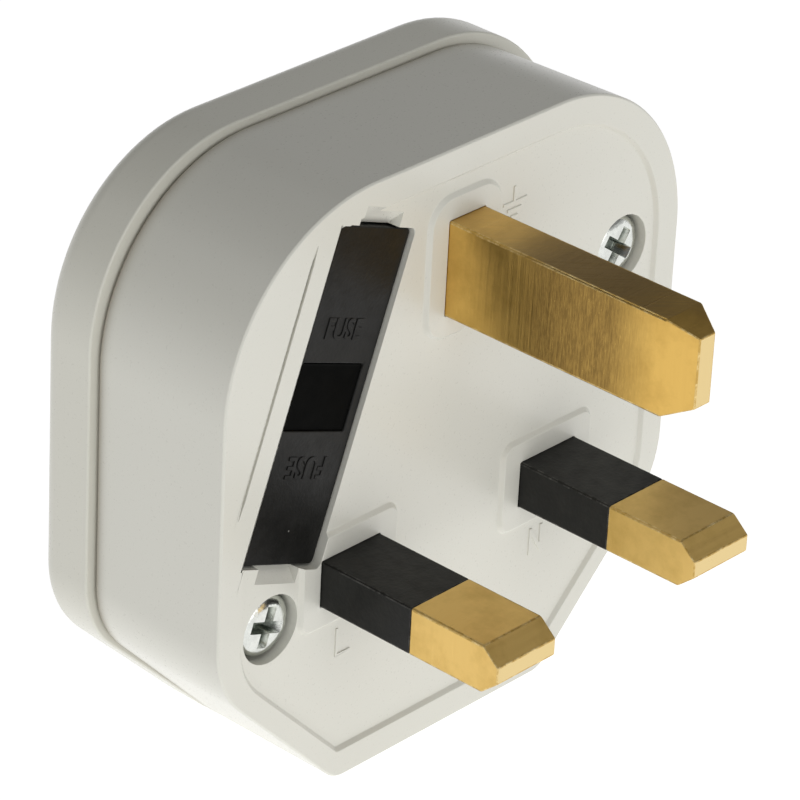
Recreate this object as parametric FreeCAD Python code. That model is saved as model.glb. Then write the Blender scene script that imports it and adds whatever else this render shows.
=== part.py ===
import FreeCAD
import Part
import math
import os

from FreeCAD import Placement, Rotation, Vector

# A rewirable three pin mains plug, in millimetres.
# X runs to the right as one faces the pins, Y runs into the plug, Z is up.
# The origin is on the pin face, midway between the live and the neutral pin.

# Pins
PIN_PITCH = 22.225          # live pin to neutral pin
EARTH_RISE = 22.225         # line of the live and neutral pins up to the earth pin
PIN_WIDTH = 6.35
PIN_THICK = 3.975
PIN_LENGTH = 17.7
PIN_TIP_LENGTH = 1.53       # sloped stretch at the tip of a live or neutral pin
PIN_TIP_THICK = 1.38
EARTH_WIDTH = 3.975
EARTH_HEIGHT = 7.925
EARTH_LENGTH = 23.2
EARTH_TIP_LENGTH = 2.35
EARTH_TIP_WIDTH = 1.7
EARTH_TIP_HEIGHT = 5.7
PIN_EDGE = 0.1              # broken long edges of the pins and their sleeves
PIN_HOLE_GAP = 0.03         # round each pin in the face wall
SLEEVE_LENGTH = 9.05        # insulated stretch outside the face
SLEEVE_WALL = 0.6

# Inner ends of the pins, which sit on the inside of the face wall
HEAD_INNER = 3.8            # from the pin's axis towards the middle of the plug
HEAD_OUTER = 3.2            # from the pin's axis towards the plug's side
HEAD_ABOVE = 2.4
HEAD_BELOW = 3.3
HEAD_LENGTH = 7.4
EARTH_HEAD_HALF_WIDTH = 3.5
EARTH_HEAD_HALF_HEIGHT = 5.1
WIRE_HOLE_RADIUS = 1.5
WIRE_HOLE_SEAT = 3.8        # face wall to the axis of a wire hole, in the pin heads

# Outline of the two shells
HALF_WIDTH = 25.15
TOP = 32.1
BOTTOM = -18.4
FOOT_SLOPE = 13.3           # each sloped lower corner, across and down
TOP_CORNER = 15.0
SIDE_CORNER = 9.0
FOOT_CORNER = 2.5
EDGE_BREAK = 0.15           # broken edge round the pin face
SEAM_BREAK = 0.35           # groove round the base where it meets the cover
SIDE_DRAFT = 0.2            # how much narrower the base is at the seam, on each side
TOP_DRAFT = 0.3

# Base
BASE_DEPTH = 13.4
WALL = 2.4
FACE_WALL = 2.6
RIM_WIDTH = 2.4             # raised rim of the pin face
SLOPE_RIM = 1.8             # the rim along the sloped lower corners
RELIEF = 0.35               # floor of the pin face below its rim and pads
RELIEF_LEAN = 0.3           # how far the floor's walls lean over its depth
PAD_MARGIN = 1.8            # pad round each pin
PAD_CORNER = 1.0
EARTH_PAD_CORNER = 2.2
RIB_WALL = 1.2              # ribs beside the pin heads
RIB_HEIGHT = 4.0
RIB_GAP = 0.15
HEAD_ROOM = 0.6             # free space round the live pin's head

# Fuse carrier and the pocket it slides into
CARRIER_X = -14.15
CARRIER_Z = 15.6
CARRIER_SLANT = 20.2        # degrees, the top leans towards the earth pin
CARRIER_END = 0.55          # fuse to the carrier's end
CARRIER_WIDTH = 8.7
CARRIER_CORNER = 0.4
CARRIER_PLATE = 1.15
CARRIER_SUNK = 0.7          # below the rim of the pin face
CRADLE_END_GAP = 0.4        # cradle to fuse cap
CRADLE_LIP = 1.8            # the cradle's arms reach this far past the fuse's axis
WINDOW_WIDTH = 6.9
WINDOW_HEIGHT = 5.3
WINDOW_DEPTH = 0.75
POCKET_GAP = 0.15
POCKET_WALL = 1.2
STRIP_WIDTH = 2.05          # tilted strip beside the pocket
STRIP_DEPTH = 0.35          # along its outer edge
STRIP_LIP = 0.05            # along the pocket
STRIP_RIM = 1.7             # plug's edge to the ends of the strip
RAMP_WIDTH = 4.4            # notches for prising the carrier out
RAMP_FOOT_WIDTH = 3.2       # at their deep ends
RAMP_LENGTH = 1.5
RAMP_DEPTH = 1.3

# Cartridge fuse
FUSE_LENGTH = 25.4
CAP_RADIUS = 3.15
CAP_LENGTH = 5.8
CAP_SKIN = 0.3
BARREL_RADIUS = 2.8
BARREL_BORE = 1.6
BARREL_GAP = 0.05           # barrel to cap
CRADLE_GAP = 0.1            # barrel to cradle
FUSE_WIRE_RADIUS = 0.2

# Fuse clips and the live terminal
CLIP_GAP = 0.1              # clip to fuse cap
CLIP_SHEET = 0.6
CLIP_LENGTH = 5.0
CLIP_INSET = 3.0            # end of the fuse to the middle of a clip
CLIP_TIP_GAP = 0.5          # carrier plate to the tips of a clip's jaws
STRAP_WIDTH = 4.2
RIVET_RADIUS = 1.5
RIVET_LENGTH = 3.0
RIVET_HEAD_RADIUS = 2.5
RIVET_HEAD = 1.0
TERMINAL_X = -5.0
TERMINAL_Z = 11.5
TERMINAL_SIDE = 6.6

# Terminal screws
TERMINAL_SCREW_RADIUS = 1.7
TERMINAL_SCREW_HEAD_RADIUS = 2.6
TERMINAL_SCREW_HEAD = 1.8
TERMINAL_SCREW_REACH = 2.0
SLOT_WIDTH = 0.8
SLOT_DEPTH = 0.9
THREAD_GAP = 0.05

# Cover screws
LOWER_SCREW_INSET = 5.9     # from the plug's side
LOWER_SCREW_Z = -2.0
UPPER_SCREW_INSET = 6.35
UPPER_SCREW_Z = 16.75
COUNTERBORE_RADIUS = 2.85
SCREW_HEAD_RADIUS = 2.6
SCREW_HEAD = 1.7
SCREW_SUNK = 0.7            # top of a cover screw's head below the pin face
SCREW_RADIUS = 1.5
SCREW_HOLE_GAP = 0.25
SCREW_END_GAP = 0.8         # tip of a cover screw short of its bush's end
SCREW_CROWN = 0.6           # slope round the edge of the head
CROSS_LENGTH = 3.2
CROSS_WIDTH = 0.9
CROSS_DEPTH = 1.1
BOSS_RADIUS = 3.8
BOSS_END_GAP = 2.4          # end of a boss to the seam

# Cover
LID_DEPTH = 5.3
LID_OVERHANG = 0.75         # past the base's seam, at the sides
LID_TOP_OVERHANG = 0.6
LID_TOP_CORNER = 14.6
LID_BACK_WALL = 2.0
LID_BACK_ROUND = 2.0
LIP_DEPTH = 1.5             # locating lip inside the base
LIP_GAP = 0.15
LIP_WALL = 1.0
LID_POST_RADIUS = 3.4
LID_POST_GAP = 0.1
INSERT_RADIUS = 2.25
INSERT_LENGTH = 5.0
INSERT_GAP = 0.05
PRESS_RIB = 0.9             # ribs that hold the pin heads down

# Cord entry and cord grip
CORD_RADIUS = 4.2
CORD_AXIS = 7.2             # pin face to the cord's axis
GRIP_Z = -9.6
GRIP_LENGTH = 5.0           # along the cord
GRIP_SCREW_X = 8.3
GRIP_POST_RADIUS = 2.7
GRIP_POST_HEIGHT = 7.0
GRIP_BAR = 1.6
GRIP_SCREW_RADIUS = 1.3
GRIP_SCREW_HEAD_RADIUS = 2.3
GRIP_SCREW_HEAD = 1.4
GRIP_SCREW_REACH = 5.0

# Places that follow from the sizes
PIN_X = PIN_PITCH / 2
BACK = BASE_DEPTH + LID_DEPTH
LID_INSIDE = BACK - LID_BACK_WALL
LIP_INSET = WALL + LIP_GAP
HOLLOW_INSET = LIP_INSET + LIP_WALL
BOSS_END = BASE_DEPTH - BOSS_END_GAP
INSERT_START = BOSS_END + LID_POST_GAP
INSERT_END = INSERT_START + INSERT_LENGTH
SCREW_SEAT = SCREW_SUNK + SCREW_HEAD
HEAD_BACK = FACE_WALL + HEAD_LENGTH
CARRIER_LENGTH = FUSE_LENGTH + 2 * CARRIER_END
CRADLE_LENGTH = FUSE_LENGTH - 2 * CAP_LENGTH - 2 * CRADLE_END_GAP
CLIP_OFFSET = FUSE_LENGTH / 2 - CLIP_INSET
POCKET_LENGTH = CARRIER_LENGTH + 2 * POCKET_GAP
POCKET_WIDTH = CARRIER_WIDTH + 2 * POCKET_GAP
PLATE_BACK = CARRIER_SUNK + CARRIER_PLATE
FUSE_AXIS = PLATE_BACK + CLIP_GAP + CAP_RADIUS
CLIP_SEAT = FUSE_AXIS + CAP_RADIUS + CLIP_GAP
STRAP_BACK = CLIP_SEAT + CLIP_SHEET
JAW_INSIDE = CAP_RADIUS + CLIP_GAP
JAW_OUTSIDE = JAW_INSIDE + CLIP_SHEET
GRIP_SEAT = FACE_WALL + GRIP_POST_HEIGHT
PAST = 1.0                  # how far a cut runs past the solid
CARRIER_PLACE = Placement(Vector(CARRIER_X, 0, CARRIER_Z), Rotation(Vector(0, 1, 0), CARRIER_SLANT))
COVER_SCREWS = {
    "lower": (LOWER_SCREW_INSET - HALF_WIDTH, LOWER_SCREW_Z),
    "upper": (HALF_WIDTH - UPPER_SCREW_INSET, UPPER_SCREW_Z),
}


def box(x0, x1, y0, y1, z0, z1):
    """A block between two corners."""
    return Part.makeBox(x1 - x0, y1 - y0, z1 - z0, Vector(x0, y0, z0))


def round_bar(x, z, radius, y0, y1):
    """A cylinder along Y."""
    return Part.makeCylinder(radius, y1 - y0, Vector(x, y0, z), Vector(0, 1, 0))


def hex_bar(x, z, inner_radius, y0, y1):
    """A six-sided bar along Y, by the radius of the circle inside it."""
    outer_radius = inner_radius / math.cos(math.pi / 6)
    corners = []
    for step in range(7):
        angle = step * math.pi / 3
        corners.append(Vector(x + outer_radius * math.cos(angle), y0, z + outer_radius * math.sin(angle)))
    return Part.Face(Part.makePolygon(corners)).extrude(Vector(0, y1 - y0, 0))


def upright_bar(x, y, radius, z0, z1):
    """A cylinder along Z."""
    return Part.makeCylinder(radius, z1 - z0, Vector(x, y, z0), Vector(0, 0, 1))


def joined(shapes):
    """All the shapes as one solid, with its seams cleaned away."""
    return shapes[0].fuse(shapes[1:]).removeSplitter()


def corner_lines(corners, index, y):
    """A corner, the directions to its neighbours and half the angle between them."""
    here = Vector(corners[index][0], y, corners[index][1])
    after = corners[(index + 1) % len(corners)]
    to_before = (Vector(corners[index - 1][0], y, corners[index - 1][1]) - here).normalize()
    to_after = (Vector(after[0], y, after[1]) - here).normalize()
    return here, to_before, to_after, to_before.getAngle(to_after) / 2


def rounded_wire(corners, y):
    """A closed outline through corners (x, z, radius), rounded at each of them."""
    arcs = []
    for index, corner in enumerate(corners):
        radius = corner[2]
        here, to_before, to_after, half = corner_lines(corners, index, y)
        reach = radius / math.tan(half)
        inward = (to_before + to_after).normalize()
        middle = here + inward * (radius / math.sin(half) - radius)
        arcs.append((here + to_before * reach, middle, here + to_after * reach))
    edges = []
    for index, arc in enumerate(arcs):
        edges.append(Part.Arc(*arc).toShape())
        edges.append(Part.LineSegment(arc[2], arcs[(index + 1) % len(arcs)][0]).toShape())
    return Part.Wire(edges)


def plate(corners, y0, y1):
    """A rounded outline made solid from one depth to another."""
    return Part.Face(rounded_wire(corners, y0)).extrude(Vector(0, y1 - y0, 0))


def inset(corners, distance, least_radius=0.3):
    """The same outline drawn inside itself."""
    moved = []
    for index, corner in enumerate(corners):
        here, to_before, to_after, half = corner_lines(corners, index, 0)
        inward = (to_before + to_after).normalize()
        place = here + inward * (distance / math.sin(half))
        moved.append((place.x, place.z, max(corner[2] - distance, least_radius)))
    return moved


def rectangle(x0, x1, z0, z1, radius):
    """Corners of an upright rectangle."""
    return [(x0, z0, radius), (x1, z0, radius), (x1, z1, radius), (x0, z1, radius)]


def centred(width, height, radius):
    """Corners of a rectangle about the middle."""
    return rectangle(-width / 2, width / 2, -height / 2, height / 2, radius)


def slanted(shape):
    """Moves a shape from the carrier's own axes to its place in the plug."""
    moved = shape.copy()
    moved.Placement = CARRIER_PLACE.multiply(moved.Placement)
    return moved


def shell_outline(half_width, top, top_corner):
    """Outline of a shell across the plug: rounded top, straight sides, sloped foot."""
    side_low = BOTTOM + FOOT_SLOPE
    foot_half_width = HALF_WIDTH - FOOT_SLOPE
    return [
        (-half_width, top, top_corner),
        (half_width, top, top_corner),
        (half_width, side_low, SIDE_CORNER),
        (foot_half_width, BOTTOM, FOOT_CORNER),
        (-foot_half_width, BOTTOM, FOOT_CORNER),
        (-half_width, side_low, SIDE_CORNER),
    ]


def floor_outline():
    """Outline of the pin face's sunk floor, inside the rim."""
    half_width = HALF_WIDTH - RIM_WIDTH
    shift = SLOPE_RIM * math.sqrt(2) - RIM_WIDTH
    side_low = BOTTOM + FOOT_SLOPE + shift
    low = BOTTOM + RIM_WIDTH
    foot_half_width = HALF_WIDTH - FOOT_SLOPE - shift
    return [
        (-half_width, TOP - RIM_WIDTH, TOP_CORNER - RIM_WIDTH),
        (half_width, TOP - RIM_WIDTH, TOP_CORNER - RIM_WIDTH),
        (half_width, side_low, SIDE_CORNER - SLOPE_RIM),
        (foot_half_width, low, FOOT_CORNER - SLOPE_RIM),
        (-foot_half_width, low, FOOT_CORNER - SLOPE_RIM),
        (-half_width, side_low, SIDE_CORNER - SLOPE_RIM),
    ]


FACE_OUTLINE = shell_outline(HALF_WIDTH, TOP, TOP_CORNER)
SEAM_OUTLINE = shell_outline(HALF_WIDTH - SIDE_DRAFT, TOP - TOP_DRAFT, TOP_CORNER - SIDE_DRAFT)
LID_OUTLINE = shell_outline(HALF_WIDTH - SIDE_DRAFT + LID_OVERHANG, TOP - TOP_DRAFT + LID_TOP_OVERHANG,
                            LID_TOP_CORNER)


def drafted_solid(outline, outline_behind, y0, y1):
    """A solid between two outlines, its straight sides made as true planes."""
    lofted = Part.makeLoft([rounded_wire(outline, y0), rounded_wire(outline_behind, y1)], True, True)
    faces = []
    for face in lofted.Faces:
        plane = face.findPlane()
        faces.append(Part.Face(plane, [face.OuterWire]) if plane else face)
    return Part.makeSolid(Part.makeShell(faces))


def edges_at(shape, y):
    """Edges that lie wholly at one depth."""
    found = []
    for edge in shape.Edges:
        bounds = edge.BoundBox
        if abs(bounds.YMin - y) < 1e-6 and abs(bounds.YMax - y) < 1e-6:
            found.append(edge)
    return found


def pin_section(width, height, x, z):
    """Corners of a pin's section, or of a hole for it."""
    return x - width / 2, x + width / 2, z - height / 2, z + height / 2


def pin_pads():
    """Outlines of the raised pads round the three pins."""
    pins = [
        (pin_section(PIN_WIDTH, PIN_THICK, -PIN_X, 0), PAD_CORNER),
        (pin_section(PIN_WIDTH, PIN_THICK, PIN_X, 0), PAD_CORNER),
        (pin_section(EARTH_WIDTH, EARTH_HEIGHT, 0, EARTH_RISE), EARTH_PAD_CORNER),
    ]
    margin = PAD_MARGIN
    return [rectangle(x0 - margin, x1 + margin, z0 - margin, z1 + margin, corner)
            for (x0, x1, z0, z1), corner in pins]


def leaning_plate(corners, lean):
    """A plate as deep as the relief on both sides of the pin face, with leaning walls."""
    return drafted_solid(inset(corners, -lean), inset(corners, lean), -RELIEF, RELIEF)


def face_relief():
    """What is taken off the pin face: a floor inside its rim, round its pads, beside the carrier."""
    floor = leaning_plate(floor_outline(), RELIEF_LEAN)
    raised = [leaning_plate(pad, -RELIEF_LEAN) for pad in pin_pads()]
    edge = POCKET_GAP - POCKET_WIDTH / 2
    raised.append(slanted(box(edge - HALF_WIDTH, edge, -PAST, PAST, -2 * TOP, 2 * TOP)))
    return floor.cut(raised)


def tilted_strip():
    """The shallow strip beside the carrier, which rises towards the pocket."""
    outer = -POCKET_WIDTH / 2 - STRIP_WIDTH
    inner = -POCKET_WIDTH / 2 + POCKET_GAP
    length = 2 * TOP
    corners = [
        Vector(outer, -PAST, -length),
        Vector(inner, -PAST, -length),
        Vector(inner, STRIP_LIP, -length),
        Vector(outer, STRIP_DEPTH, -length),
    ]
    strip = Part.Face(Part.makePolygon(corners + corners[:1])).extrude(Vector(0, 0, 2 * length))
    return slanted(strip).common(plate(inset(FACE_OUTLINE, STRIP_RIM), -PAST, PAST))


def ramps():
    """The two prising notches, one at each end of the carrier's pocket."""
    end = POCKET_LENGTH / 2
    fall = RAMP_DEPTH / RAMP_LENGTH
    narrowing = (RAMP_WIDTH - RAMP_FOOT_WIDTH) / 2 / RAMP_DEPTH
    wide = RAMP_WIDTH / 2 + narrowing * PAST
    foot = RAMP_FOOT_WIDTH / 2
    slope = [
        Vector(-wide, -fall * PAST, end + RAMP_LENGTH + PAST),
        Vector(-wide, RAMP_DEPTH, end),
        Vector(-wide, RAMP_DEPTH, 0),
        Vector(-wide, -fall * PAST, 0),
    ]
    sides = [
        Vector(-wide, -PAST, 0),
        Vector(wide, -PAST, 0),
        Vector(foot, RAMP_DEPTH, 0),
        Vector(-foot, RAMP_DEPTH, 0),
    ]
    wedge = Part.Face(Part.makePolygon(slope + slope[:1])).extrude(Vector(2 * wide, 0, 0))
    channel = Part.Face(Part.makePolygon(sides + sides[:1])).extrude(Vector(0, 0, CARRIER_LENGTH))
    upper = wedge.common(channel)
    lower = upper.mirror(Vector(0, 0, 0), Vector(0, 0, 1))
    return [slanted(upper), slanted(lower)]


def head_ribs():
    """Low ribs on the inside of the face wall that keep the pin heads square."""
    top = FACE_WALL + RIB_HEIGHT
    ribs = []
    for side in (-1, 1):
        near = side * (PIN_X - HEAD_INNER - RIB_GAP)
        far = near - side * RIB_WALL
        ribs.append(box(min(near, far), max(near, far), FACE_WALL, top, -HEAD_BELOW, HEAD_ABOVE))
        near = side * (EARTH_HEAD_HALF_WIDTH + RIB_GAP)
        far = near + side * RIB_WALL
        low = EARTH_RISE - EARTH_HEIGHT / 2
        high = EARTH_RISE + EARTH_HEIGHT / 2
        ribs.append(box(min(near, far), max(near, far), FACE_WALL, top, low, high))
    outer = PIN_X + HEAD_OUTER + RIB_GAP
    ribs.append(box(outer, outer + RIB_WALL, FACE_WALL, top, -HEAD_BELOW, HEAD_ABOVE))
    return ribs


def cord_saddle():
    """Posts and a hollowed rib that the cord lies on, under the grip bar."""
    half_length = GRIP_LENGTH / 2
    rib = box(-GRIP_SCREW_X, GRIP_SCREW_X, FACE_WALL, CORD_AXIS, GRIP_Z - half_length, GRIP_Z + half_length)
    pieces = [rib]
    for side in (-1, 1):
        pieces.append(round_bar(side * GRIP_SCREW_X, GRIP_Z, GRIP_POST_RADIUS, FACE_WALL, GRIP_SEAT))
    return pieces


def base():
    """The base moulding: pin face, walls, carrier pocket, screw bosses and cord saddle."""
    outer = drafted_solid(FACE_OUTLINE, SEAM_OUTLINE, 0, BASE_DEPTH)
    outer = outer.makeChamfer(EDGE_BREAK, edges_at(outer, 0))
    outer = outer.makeChamfer(SEAM_BREAK, edges_at(outer, BASE_DEPTH))
    cavity = plate(inset(SEAM_OUTLINE, WALL), FACE_WALL, BASE_DEPTH + PAST)
    walls = centred(POCKET_WIDTH + 2 * POCKET_WALL, POCKET_LENGTH + 2 * POCKET_WALL, POCKET_WALL)
    pocket_walls = slanted(plate(walls, FACE_WALL, CLIP_SEAT)).common(cavity)
    bosses = []
    for x, z in COVER_SCREWS.values():
        bosses.append(round_bar(x, z, BOSS_RADIUS, FACE_WALL, BOSS_END).common(cavity))
    shell = joined([outer.cut(cavity), pocket_walls] + bosses + head_ribs() + cord_saddle())

    pocket = centred(POCKET_WIDTH, POCKET_LENGTH, CARRIER_CORNER + POCKET_GAP)
    cuts = [face_relief(), tilted_strip(), slanted(plate(pocket, -PAST, CLIP_SEAT + PAST))] + ramps()
    room = 2 * PIN_HOLE_GAP
    for x in (-PIN_X, PIN_X):
        cuts.append(pin_bar(PIN_WIDTH + room, PIN_THICK + room, x, 0, -PAST, FACE_WALL + PAST))
    cuts.append(pin_bar(EARTH_WIDTH + room, EARTH_HEIGHT + room, 0, EARTH_RISE, -PAST, FACE_WALL + PAST))
    cuts.append(box(-PIN_X - HEAD_OUTER - HEAD_ROOM, -PIN_X + HEAD_INNER, FACE_WALL, BASE_DEPTH,
                    -HEAD_BELOW - HEAD_ROOM, HEAD_ABOVE + HEAD_ROOM))
    room_x = EARTH_HEAD_HALF_WIDTH + RIB_GAP
    room_z = EARTH_HEAD_HALF_HEIGHT + RIB_GAP
    cuts.append(box(-room_x, room_x, FACE_WALL, BASE_DEPTH, EARTH_RISE - room_z, EARTH_RISE + room_z))
    for x, z in COVER_SCREWS.values():
        cuts.append(round_bar(x, z, COUNTERBORE_RADIUS, -PAST, SCREW_SEAT))
        cuts.append(round_bar(x, z, SCREW_RADIUS + SCREW_HOLE_GAP, 0, BOSS_END + PAST))
    for side in (-1, 1):
        hole_end = GRIP_SEAT - GRIP_SCREW_REACH - THREAD_GAP
        hole = GRIP_SCREW_RADIUS + THREAD_GAP
        cuts.append(round_bar(side * GRIP_SCREW_X, GRIP_Z, hole, hole_end, GRIP_SEAT + PAST))
    cuts.append(upright_bar(0, CORD_AXIS, CORD_RADIUS, BOTTOM - PAST, GRIP_Z + GRIP_LENGTH))
    return shell.cut(cuts).removeSplitter()


def press_ribs():
    """Ribs inside the cover that bear on the backs of the pin heads."""
    ribs = []
    for side, bears_on in ((-1, CLIP_SEAT), (1, HEAD_BACK)):
        near = side * (PIN_X - HEAD_INNER)
        far = near + side * PRESS_RIB
        ribs.append(box(min(near, far), max(near, far), bears_on, LID_INSIDE, -HEAD_BELOW, HEAD_ABOVE))
    for side in (-1, 1):
        far = EARTH_RISE + side * EARTH_HEAD_HALF_HEIGHT
        near = far - side * PRESS_RIB
        wide = EARTH_HEAD_HALF_WIDTH
        ribs.append(box(-wide, wide, HEAD_BACK, LID_INSIDE, min(near, far), max(near, far)))
    return ribs


def cover():
    """The back cover: rounded shell, locating lip, screw posts and press ribs."""
    shell = plate(LID_OUTLINE, BASE_DEPTH, BACK)
    shell = shell.makeFillet(LID_BACK_ROUND, edges_at(shell, BACK))
    lip_end = BASE_DEPTH - LIP_DEPTH
    lip = plate(inset(SEAM_OUTLINE, LIP_INSET), lip_end, BASE_DEPTH)
    hollow = plate(inset(SEAM_OUTLINE, HOLLOW_INSET), lip_end - PAST, LID_INSIDE)
    shell = shell.fuse(lip).cut(hollow)
    room = plate(inset(SEAM_OUTLINE, LIP_INSET), INSERT_START, LID_INSIDE)
    posts = []
    sockets = []
    for x, z in COVER_SCREWS.values():
        posts.append(round_bar(x, z, LID_POST_RADIUS, INSERT_START, LID_INSIDE).common(room))
        sockets.append(hex_bar(x, z, INSERT_RADIUS + INSERT_GAP, INSERT_START - PAST, INSERT_END))
    shell = joined([shell] + posts + press_ribs())
    return shell.cut(sockets).removeSplitter()


def cover_insert(x, z):
    """A six-sided threaded bush in one of the cover's posts."""
    bush = hex_bar(x, z, INSERT_RADIUS, INSERT_START, INSERT_END)
    return bush.cut(round_bar(x, z, SCREW_RADIUS + THREAD_GAP, INSERT_START - PAST, INSERT_END + PAST))


def cover_screw(x, z):
    """A pan head screw with a cross recess, sunk in the pin face."""
    head = round_bar(x, z, SCREW_HEAD_RADIUS, SCREW_SUNK, SCREW_SEAT)
    head = head.makeChamfer(SCREW_CROWN, edges_at(head, SCREW_SUNK))
    screw = head.fuse(round_bar(x, z, SCREW_RADIUS, SCREW_SEAT, INSERT_END - SCREW_END_GAP))
    long = CROSS_LENGTH / 2
    thin = CROSS_WIDTH / 2
    deep = SCREW_SUNK + CROSS_DEPTH
    cross = [
        box(x - long, x + long, SCREW_SUNK - PAST, deep, z - thin, z + thin),
        box(x - thin, x + thin, SCREW_SUNK - PAST, deep, z - long, z + long),
    ]
    return screw.cut(cross).removeSplitter()


def slotted_screw(x, z, seat, radius, head_radius, head, reach):
    """A cheese head screw driven from the back of the plug."""
    screw = round_bar(x, z, head_radius, seat, seat + head).fuse(round_bar(x, z, radius, seat - reach, seat))
    top = seat + head
    half_slot = SLOT_WIDTH / 2
    slot = box(x - head_radius, x + head_radius, top - SLOT_DEPTH, top + PAST, z - half_slot, z + half_slot)
    return screw.cut(slot).removeSplitter()


def terminal_screw(x, z, seat):
    """The clamping screw of a terminal."""
    return slotted_screw(x, z, seat, TERMINAL_SCREW_RADIUS, TERMINAL_SCREW_HEAD_RADIUS,
                         TERMINAL_SCREW_HEAD, TERMINAL_SCREW_REACH)


def pin_bar(width, height, x, z, y0, y1):
    """A stretch of pin with its long edges broken."""
    x0, x1, z0, z1 = pin_section(width, height, x, z)
    edge = PIN_EDGE
    corners = [
        Vector(x0 + edge, y0, z0),
        Vector(x1 - edge, y0, z0),
        Vector(x1, y0, z0 + edge),
        Vector(x1, y0, z1 - edge),
        Vector(x1 - edge, y0, z1),
        Vector(x0 + edge, y0, z1),
        Vector(x0, y0, z1 - edge),
        Vector(x0, y0, z0 + edge),
    ]
    return Part.Face(Part.makePolygon(corners + corners[:1])).extrude(Vector(0, y1 - y0, 0))


def flat_pin_blade(x):
    """The outer part of a live or neutral pin: sleeved neck, bare shank and sloped tip."""
    half = PIN_THICK / 2
    tip = PIN_TIP_THICK / 2
    shoulder = -PIN_LENGTH + PIN_TIP_LENGTH
    corners = [
        Vector(x - PIN_WIDTH / 2, -SLEEVE_LENGTH, -half),
        Vector(x - PIN_WIDTH / 2, shoulder, -half),
        Vector(x - PIN_WIDTH / 2, -PIN_LENGTH, -tip),
        Vector(x - PIN_WIDTH / 2, -PIN_LENGTH, tip),
        Vector(x - PIN_WIDTH / 2, shoulder, half),
        Vector(x - PIN_WIDTH / 2, -SLEEVE_LENGTH, half),
    ]
    profile = Part.Face(Part.makePolygon(corners + corners[:1])).extrude(Vector(PIN_WIDTH, 0, 0))
    shank = profile.common(pin_bar(PIN_WIDTH, PIN_THICK, x, 0, -PIN_LENGTH, -SLEEVE_LENGTH))
    x0, x1, z0, z1 = pin_section(PIN_WIDTH - 2 * SLEEVE_WALL, PIN_THICK - 2 * SLEEVE_WALL, x, 0)
    return shank.fuse(box(x0, x1, -SLEEVE_LENGTH, FACE_WALL, z0, z1))


def flat_pin_head(side, back):
    """The block at the inner end of a live or neutral pin."""
    x = side * PIN_X
    inner = x - side * HEAD_INNER
    outer = x + side * HEAD_OUTER
    return box(min(inner, outer), max(inner, outer), FACE_WALL, back, -HEAD_BELOW, HEAD_ABOVE)


def terminal_cuts(x, z, low, high, axis, seat):
    """The hole for the wire's end and the threaded hole of its clamping screw."""
    wire = upright_bar(x, axis, WIRE_HOLE_RADIUS, low - PAST, high + PAST)
    thread = round_bar(x, z, TERMINAL_SCREW_RADIUS + THREAD_GAP, axis, seat + PAST)
    return [wire, thread]


def neutral_pin():
    """The neutral pin with its terminal."""
    blank = joined([flat_pin_blade(PIN_X), flat_pin_head(1, HEAD_BACK)])
    axis = FACE_WALL + WIRE_HOLE_SEAT
    return blank.cut(terminal_cuts(PIN_X, 0, -HEAD_BELOW, HEAD_ABOVE, axis, HEAD_BACK))


def live_pin():
    """The live pin, whose head carries the lower fuse clip."""
    blank = joined([flat_pin_blade(-PIN_X), flat_pin_head(-1, CLIP_SEAT)])
    hole_end = CLIP_SEAT - RIVET_LENGTH - THREAD_GAP
    return blank.cut(round_bar(-PIN_X, 0, RIVET_RADIUS + THREAD_GAP, hole_end, CLIP_SEAT + PAST))


def earth_pin():
    """The longer earth pin with its terminal."""
    shoulder = -EARTH_LENGTH + EARTH_TIP_LENGTH
    sections = []
    ends = ((shoulder, EARTH_WIDTH, EARTH_HEIGHT), (-EARTH_LENGTH, EARTH_TIP_WIDTH, EARTH_TIP_HEIGHT))
    for y, width, height in ends:
        x0, x1, z0, z1 = pin_section(width, height, 0, EARTH_RISE)
        corners = [Vector(x0, y, z0), Vector(x1, y, z0), Vector(x1, y, z1), Vector(x0, y, z1)]
        sections.append(Part.makePolygon(corners + corners[:1]))
    tip = Part.makeLoft(sections, True, True).common(
        pin_bar(EARTH_WIDTH, EARTH_HEIGHT, 0, EARTH_RISE, -EARTH_LENGTH, shoulder))
    shank = pin_bar(EARTH_WIDTH, EARTH_HEIGHT, 0, EARTH_RISE, shoulder, FACE_WALL)
    low = EARTH_RISE - EARTH_HEAD_HALF_HEIGHT
    high = EARTH_RISE + EARTH_HEAD_HALF_HEIGHT
    head = box(-EARTH_HEAD_HALF_WIDTH, EARTH_HEAD_HALF_WIDTH, FACE_WALL, HEAD_BACK, low, high)
    blank = joined([shank, tip, head])
    return blank.cut(terminal_cuts(0, EARTH_RISE, low, high, FACE_WALL + WIRE_HOLE_SEAT, HEAD_BACK))


def pin_sleeve(x):
    """The insulating sleeve let into a live or neutral pin, flush with it."""
    x0, x1, z0, z1 = pin_section(PIN_WIDTH, PIN_THICK, x, 0)
    wall = SLEEVE_WALL
    neck = box(x0 + wall, x1 - wall, -SLEEVE_LENGTH - PAST, FACE_WALL + PAST, z0 + wall, z1 - wall)
    return pin_bar(PIN_WIDTH, PIN_THICK, x, 0, -SLEEVE_LENGTH, FACE_WALL).cut(neck)


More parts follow.
